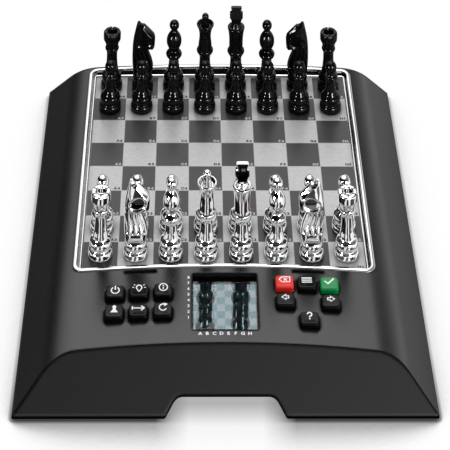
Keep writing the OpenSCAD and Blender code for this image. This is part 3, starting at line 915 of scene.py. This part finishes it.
def key_cap(node, mat):
    """A cap with rounded sides and a dished top, over the flange and the post that the CAD key has."""
    low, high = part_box(node)
    cx, cy = (low.x + high.x) / 2, (low.y + high.y) / 2
    half_x, half_y = (high.x - low.x) / 2 - 0.9 * MM, (high.y - low.y) / 2 - 0.9 * MM
    flange_low = roof(abs(cx) + half_x) - 2.85 * MM - 1 * MM
    # distance in, height and corner radius: the flange and the sides from the flange's foot up, then the
    # shoulder and the dished face from the top down
    sides = [(-0.9, 0, 2.2), (-0.9, 1, 2.2), (0.0, 1, 1.8), (0.0, 1.3, 1.8)]
    shoulder = [(0.05, -2.0, 1.8), (0.15, -1.1, 1.8), (0.35, -0.55, 1.8), (0.65, -0.2, 1.8)]
    dish = [(1.05, 0.0, 1.7), (1.6, -0.05, 1.5), (2.6, -0.2, 1.2), (4.0, -0.3, 0.5)]
    levels = [(inset, flange_low + up * MM, r) for inset, up, r in sides]
    levels += [(inset, high.z + up * MM, r) for inset, up, r in shoulder + dish]
    verts = []
    for inset, z, r in levels:
        path = rounded_path(half_x - inset * MM, half_y - inset * MM, r * MM, 6, 8)
        count = len(path)
        verts += [(cx + x, cy + y, z) for x, y, nx, ny in path]
    faces = bridge(0, count, len(levels))
    faces.append(tuple(range(len(verts) - count, len(verts))))
    # the underside, with the post
    post_r = 2.6 * MM
    turns = [2 * math.pi * i / count for i in range(count)]
    top = len(verts)
    foot = top + count
    for z in (flange_low, low.z):
        verts += [(cx + post_r * math.cos(a), cy + post_r * math.sin(a), z) for a in turns]
    for i in range(count):
        j = (i + 1) % count
        faces.append((i, top + i, top + j, j))
        faces.append((top + i, foot + i, foot + j, top + j))
    faces.append(tuple(reversed(range(foot, foot + count))))
    piece = mesh_piece(f"{node}_cap", verts, faces, mat, node, 50)
    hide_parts(node)
    insets, heights, _ = zip(*levels[-len(dish):])

    def face_z(x, y):
        """Height of the cap's face at a place counted from its middle, in millimetres."""
        inset = min(half_x / MM - abs(x), half_y / MM - abs(y))
        return float(np.interp(inset, insets, heights))

    return cx, cy, face_z


INK_DEPTH = 0.12


def lines(*strokes, width=0.62):
    """Flat strokes of ink from polylines in millimetres, the top at height 0. A line that ends at its own
    start is a ring."""
    verts, faces = [], []
    for line in strokes:
        closed = line[0] == line[-1]
        pts = [Vector((x, y)) for x, y in (line[:-1] if closed else line)]
        n = len(pts)
        left, right = [], []
        for i, p in enumerate(pts):
            a = pts[i - 1] if (i or closed) else p
            b = pts[(i + 1) % n] if (i < n - 1 or closed) else p
            d1, d2 = (p - a), (b - p)
            d1 = d1.normalized() if d1.length > 1e-9 else d2.normalized()
            d2 = d2.normalized() if d2.length > 1e-9 else d1
            tangent = (d1 + d2).normalized() if (d1 + d2).length > 1e-6 else d1
            normal = Vector((-tangent.y, tangent.x))
            stretch = min(1.6, 1 / max(0.4, normal.dot(Vector((-d1.y, d1.x)))))
            left.append(p + normal * width / 2 * stretch)
            right.append(p - normal * width / 2 * stretch)
        first = len(verts)
        for z in (0.0, -INK_DEPTH):
            verts += [(q.x, q.y, z) for q in left + right]
        under = 2 * n
        for i in range(n if closed else n - 1):
            j = (i + 1) % n
            l0, l1, r0, r1 = first + i, first + j, first + n + i, first + n + j
            faces.append((r0, r1, l1, l0))
            faces.append((l0 + under, l1 + under, r1 + under, r0 + under))
            faces.append((l0, l1, l1 + under, l0 + under))
            faces.append((r1, r0, r0 + under, r1 + under))
        if not closed:
            for i, flip in ((0, False), (n - 1, True)):
                quad = (first + i, first + i + under, first + n + i + under, first + n + i)
                faces.append(tuple(reversed(quad)) if flip else quad)
    return verts, faces


def arc(cx, cy, r, a, b, n):
    """Points on a circle from the angle a to the angle b, in degrees."""
    turns = [math.radians(a + (b - a) * i / n) for i in range(n + 1)]
    return [(cx + r * math.cos(turn), cy + r * math.sin(turn)) for turn in turns]


def solid_shape(points):
    """A flat patch of ink inside an outline."""
    n = len(points)
    verts = [(x, y, z) for z in (0.0, -INK_DEPTH) for x, y in points]
    faces = [tuple(range(n)), tuple(reversed(range(n, 2 * n)))]
    faces += [(i, i + n, (i + 1) % n + n, (i + 1) % n) for i in range(n)]
    return verts, faces


def joined(*shapes):
    """Several shapes' verts and faces as one's."""
    verts, faces = [], []
    for v, f in shapes:
        first = len(verts)
        verts += v
        faces += [tuple(i + first for i in face) for face in f]
    return verts, faces


def dot(x, y, r):
    return solid_shape(arc(x, y, r, 0, 337.5, 15))


def arrow(way):
    """An outlined arrow to the left, or to the right when way is -1."""
    left = [(-2.0, 0), (0.1, 1.6), (0.1, 0.7), (1.7, 0.7), (1.7, -0.7), (0.1, -0.7), (0.1, -1.6), (-2.0, 0)]
    return lines([(way * x, way * y) for x, y in left], width=0.5)


def pawn_figure():
    left = [(-0.75, 0.3), (-1.0, -0.5), (-1.7, -1.3), (-1.9, -2.0)]
    return solid_shape(arc(0, 1.35, 1.0, -50, 230, 16) + left + [(-x, y) for x, y in reversed(left)])


def lamp():
    bulb = lines(arc(0, 0.5, 1.45, -60, 240, 24), [(-0.7, -0.8), (-0.7, -1.35)],
                 [(0.7, -0.8), (0.7, -1.35)], [(-0.75, -1.7), (0.75, -1.7)])
    rays = lines([(-2.7, 0.5), (-3.6, 0.5)], [(2.7, 0.5), (3.6, 0.5)], [(-2.2, 1.9), (-2.9, 2.3)],
                 [(2.2, 1.9), (2.9, 2.3)], width=0.5)
    return joined(bulb, rays)


ICONS = {
    "key_power": lines(arc(0, 0, 2.1, 125, 415, 30), [(0, 0.4), (0, 2.7)], width=0.7),
    "key_hint": lamp(),
    "key_info": joined(lines(arc(0, 0.2, 2.2, 0, 360, 32), [(0, 0.3), (0, -1.1)]), dot(0, 1.15, 0.42)),
    "key_pawn": pawn_figure(),
    "key_move": lines([(-3.2, 0), (3.0, 0)], [(1.5, 1.4), (3.1, 0), (1.5, -1.4)],
                      [(-3.2, 1.1), (-3.2, -1.1)]),
    "key_new": joined(lines(arc(0, 0, 1.9, 60, 340, 26)),
                      solid_shape([(0.35, 2.75), (2.5, 1.95), (0.75, 0.65)])),
    "key_clear": lines([(-2.9, 0), (-1.4, 1.6), (2.9, 1.6), (2.9, -1.6), (-1.4, -1.6), (-2.9, 0)],
                       [(-0.4, 0.75), (1.3, -0.75)], [(-0.4, -0.75), (1.3, 0.75)], width=0.52),
    "key_menu": lines(*([(-2.8, y), (2.8, y)] for y in (1.35, 0, -1.35)), width=0.66),
    "key_enter": lines([(-2.5, 0.1), (-0.7, -1.5), (2.7, 1.7)], width=0.85),
    "key_left": arrow(1),
    "key_right": arrow(-1),
    "key_help": joined(lines(arc(0, 0.95, 1.15, 175, -60, 18) + [(0, -0.25), (0, -0.85)], width=0.68),
                       dot(0, -1.75, 0.43)),
}
ICON_SCALE = 1.28
KEY_LOOK = {"key_clear": (KEY_RED, "key_red"), "key_enter": (KEY_GREEN, "key_green")}

for node, (verts, faces) in ICONS.items():
    mat, slot = KEY_LOOK.get(node, (KEY_BLACK, "key_black"))
    cx, cy, face_z = key_cap(node, mat)
    lift = 0.8 if node == "key_power" else 1.5
    flat = [(x * ICON_SCALE, y * ICON_SCALE + lift, z) for x, y, z in verts]
    at = [(cx + x * MM, cy + y * MM, face_z(x, y) + (z + 0.05) * MM) for x, y, z in flat]
    mesh_piece(f"{node}_symbol", at, faces, INK, node)

# ---- printed names

FILES, RANKS = "ABCDEFGH", "12345678"


def text_mesh(body, size, bold=0.035):
    """Verts and faces, in metres, of a short text in the built-in typeface, centred on its place."""
    curve = bpy.data.curves.new("name", "FONT")
    curve.body, curve.size = body, size
    curve.align_x, curve.align_y = "CENTER", "CENTER"
    curve.resolution_u = 3
    curve.offset = size * bold
    holder = new_object("name", curve)
    bpy.context.view_layer.update()
    mesh = bpy.data.meshes.new_from_object(holder.evaluated_get(bpy.context.evaluated_depsgraph_get()))
    co = np.array([v.co for v in mesh.vertices])
    middle = (co.max(0) + co.min(0)) / 2
    verts = [tuple(v) for v in co - middle]
    faces = [tuple(p.vertices) for p in mesh.polygons]
    bpy.data.objects.remove(holder)
    bpy.data.curves.remove(curve)
    bpy.data.meshes.remove(mesh)
    return verts, faces


def square_names():
    """Each square's name in its near right-hand corner, dark on light squares and pale on dark ones."""
    glyphs = {c: text_mesh(c, 3.7 * MM, 0.06) for c in FILES + RANKS}
    across, up, pitch = 0.865, 0.085, 2.5 * MM
    for shade, parity, tone in (("dark", 1, 0.004), ("pale", 0, 0.5)):
        parts = []
        for file, rank in np.ndindex(8, 8):
            if (file + rank) % 2 != parity:
                continue
            x = board_centre.x + (file - 4 + across) * SQUARE
            y = board_centre.y + (rank - 4 + up) * SQUARE
            for k, c in enumerate((FILES[file], RANKS[rank])):
                v, f = glyphs[c]
                left = x + (k - 0.5) * pitch
                parts.append(([(a * 0.92 + left, b * 0.8 + y, BOARD_Z + 0.02 * MM) for a, b, _ in v], f))
        verts, faces = joined(*parts)
        mat = ink(f"ink_{shade}", tone, 0.8 * tone)
        mesh_piece(f"square_names_{shade}", verts, faces, mat, "casing")


def display_names():
    """The ranks beside the display and the files under it, on the casing's dome."""
    display_y = (lcd_low.y + lcd_high.y) / 2
    places = [(c, 3.0, 1.0, -25.0, -13.7 + i * 4.886) for i, c in enumerate(RANKS)]
    places += [(c, 3.4, 1.1, -17.1 + i * 4.743, -27.1) for i, c in enumerate(FILES)]
    parts = []
    for c, size, stretch, x, y in places:
        v, f = text_mesh(c, size * MM)
        x, y = x * MM, display_y + y * MM
        parts.append(([(a * stretch + x, b + y, roof(a + x) + 0.03 * MM) for a, b, _ in v], f))
    verts, faces = joined(*parts)
    mesh_piece("display_names", verts, faces, INK, "casing")


square_names()
display_names()

# ---- CAD parts that stay, with their finishes

FINISH = {
    "top_shell": CASING, "bottom_cover": COVER, "battery_door": COVER, "board_film": BOARD_PRINT,
    "sensor_board": CIRCUIT, "display_window": WINDOW, "lcd_module": LCD_FACE, "main_pcb": CIRCUIT,
    "keypad_mat": SILICONE, "speaker": SPEAKER, "batteries": CELL, "battery_contacts": CONTACT,
    "dc_jack": JACK, "rubber_feet": RUBBER, "case_screws": SCREW,
}
for node, mat in FINISH.items():
    piece = frame["nodes"][node]
    piece.data.materials.clear()
    piece.data.materials.append(mat)

shell = frame["nodes"]["top_shell"]
bevel = shell.modifiers.new("soft_edges", "BEVEL")
bevel.width = 0.7 * MM
bevel.segments = 3
bevel.limit_method = "ANGLE"
bevel.angle_limit = math.radians(25)

# ---- stage, light and camera


def floor():
    """White paper, seen from above only, glowing with a painted shadow: its shade is how much of the sky the
    object hides from it, painted paler in the front notch and further back.
    """
    mat, t = material("floor_white")
    white = 1.0
    x, y, z = t.split(t.place())
    open_sky = t.openness(80 * MM, 24)
    shade = t.ramp(open_sky, [
        (0.3, 0.02), (0.62, 0.15), (0.77, 0.32), (0.82, 0.5), (0.855, 0.76), (0.885, 0.94), (0.91, 1.0)])
    # painted light: paler in the front notch
    notch_light = t.span(y, shell_low.y + 14 * MM, shell_low.y - 4 * MM, 0.36, 0.85)
    in_notch = t.times(t.span(t.absolute(x), 46 * MM, 24 * MM), notch_light)
    shade = t.mix(in_notch, shade, white)
    # painted light: the shadow is paler behind the front edge, towards the sides
    seen = t.mix(t.span(y, -160 * MM, -100 * MM, 0.0, 0.35), shade, white)
    path = t.light_path()
    glossy = path["Is Glossy Ray"]
    # for other rays, a painted tone: in mirrors darker near the object, and darker to the left
    least = t.span(glossy, 0.0, 1.0, 0.9, 0.25)
    mirrored_paper = t.mix(t.span(x, 50 * MM, 300 * MM), 0.1, 0.5)
    paper_tone = t.mix(glossy, 0.6, mirrored_paper)
    bounced = t.times(t.math("MAXIMUM", t.power(open_sky, 2.0), least), paper_tone)
    paper = t.add("ShaderNodeEmission", Color=t.mix(path["Is Camera Ray"], bounced, seen))
    from_below = t.times(t.add("ShaderNodeNewGeometry", out=BACK_FACE), path["Is Camera Ray"])
    t.surface(t.blend(from_below, paper, t.add("ShaderNodeBsdfTransparent")))
    half = 6.0
    corners = [(-half, -half, 0), (half, -half, 0), (half, half, 0), (-half, half, 0)]
    new_object("floor", new_mesh("floor", corners, [(0, 1, 2, 3)], mat, 30))


def area_light(name, at, target, size, power):
    light = bpy.data.lights.new(name, "AREA")
    light.shape = "RECTANGLE"
    light.size, light.size_y = size
    light.energy = power
    lamp = new_object(name, light)
    lamp.location = at
    lamp.rotation_euler = (Vector(target) - Vector(at)).to_track_quat("-Z", "Y").to_euler()
    lamp.visible_camera = False
    return lamp


def studio():
    """A bright ceiling towards the back, a dark room round it with a paler right-hand side, strip lamps for
    the men, and two softboxes. The camera sees white, and what isn't mirrored gets an even fill."""
    world = bpy.data.worlds.new("studio")
    bpy.context.scene.world = world
    world.use_nodes = True
    t = Tree(world.node_tree)
    x, y, z = t.split(t.add("ShaderNodeTexCoord", out=ALL_ROUND))
    across = t.span(x, -1.0, 1.0)
    off_level = t.absolute(z)
    in_front = t.span(y, -0.25, -0.45)
    ceiling = t.plus(t.math("MULTIPLY_ADD", y, 0.5, t.times(z, 0.87)), t.times(x, 0.06))
    overhead = t.ramp(ceiling, [(0.42, 0.0), (0.6, 0.08), (0.7, 0.75), (0.9, 1.55)])
    overhead = t.times(overhead, t.span(x, 0.17, 0.32, 1.0, 0.15))
    room = t.ramp(across, [(0.0, 0.01), (0.45, 0.03), (0.68, 0.12), (0.8, 1.0), (1.0, 0.7)])
    room = t.times(room, t.span(off_level, 0.1, 0.45, 1.0, 0.15))
    strips = t.ramp(across, [
        (0.0, 0.0), (0.1, 0.0), (0.13, 0.9), (0.2, 0.9), (0.23, 0.0), (0.36, 0.0), (0.4, 0.7), (0.44, 0.0),
        (0.6, 0.0), (0.64, 0.8), (0.7, 0.8), (0.73, 0.0)])
    strips = t.times(t.times(strips, in_front), t.span(off_level, 0.2, 0.45, 1.0, 0.0))
    glow = t.times(t.times(t.span(x, -0.12, 0.16, 0.08, 1.0), in_front), t.span(z, 0.0, 0.12))
    glow = t.times(glow, t.span(z, 0.5, 0.35))
    mirrored_room = t.plus(t.plus(overhead, room), t.plus(strips, glow))
    fill = t.span(x, -1.0, 1.0, 0.5, 1.3)
    path = t.light_path()
    light = t.mix(path["Is Glossy Ray"], fill, mirrored_room)
    shown = t.mix(path["Is Camera Ray"], light, 1.0)
    back = t.add("ShaderNodeBackground", Color=shown, Strength=1.0)
    out = t.tree.nodes.new("ShaderNodeOutputWorld")
    t.tree.links.new(back, out.inputs[0])
    world.cycles.sampling_method = "NONE"
    target = (0, 0.05, 0.04)
    men = bpy.data.collections.new("men")
    for piece in bpy.context.scene.objects:
        if piece.name.endswith("_man"):
            men.objects.link(piece)
    for name, at in (("left_strip", (-0.95, -0.75, 0.46)), ("right_strip", (0.6, -0.95, 0.6))):
        strip = area_light(name, at, target, (0.2, 0.36), 14.0)
        strip.light_linking.receiver_collection = men
    area_light("top_softbox", (0.15, 0.35, 1.4), target, (0.7, 0.7), 3.0)
    area_light("right_softbox", (0.9, -1.2, 0.35), target, (0.6, 0.4), 1.2)


CAMERA_AT = Vector((-36.9, -1304.1, 996.8)) * MM
CAMERA_YAW, CAMERA_ROLL = 0.018641, 0.014923
CAMERA_LENS = 141.31
CAMERA_RISE = -2.9667


def camera():
    """A level view camera with a dropped lens, so that the men's uprights stay parallel. When the camera is
    taken elsewhere, the driver brings the lens back to the middle."""
    data = bpy.data.cameras.new("camera")
    cam = new_object("camera", data)
    home = new_object("camera_home", None)
    data.sensor_width, data.lens = 36.0, CAMERA_LENS
    forward = Vector((math.sin(CAMERA_YAW), math.cos(CAMERA_YAW), 0))
    right, up = Vector((forward.y, -forward.x, 0)), Vector((0, 0, 1))
    x_axis = math.cos(CAMERA_ROLL) * right + math.sin(CAMERA_ROLL) * up
    y_axis = -math.sin(CAMERA_ROLL) * right + math.cos(CAMERA_ROLL) * up
    turn = Matrix((x_axis, y_axis, -forward)).transposed().to_4x4()
    cam.matrix_world = Matrix.Translation(CAMERA_AT) @ turn
    home.location = CAMERA_AT
    data.shift_y = CAMERA_RISE
    curve = data.driver_add("shift_y")
    curve.driver.type = "AVERAGE"
    away = curve.driver.variables.new()
    away.type = "LOC_DIFF"
    away.targets[0].id, away.targets[1].id = cam, home
    for modifier in list(curve.modifiers):
        curve.modifiers.remove(modifier)
    for distance, value in ((0.0, CAMERA_RISE), (0.005, CAMERA_RISE), (0.02, 0.0), (1.0, 0.0)):
        curve.keyframe_points.insert(distance, value).interpolation = "LINEAR"
    curve.extrapolation = "CONSTANT"
    bpy.context.scene.camera = cam


floor()
studio()
camera()
bpy.context.scene.view_settings.view_transform = "Standard"

bpy.context.view_layer.update()
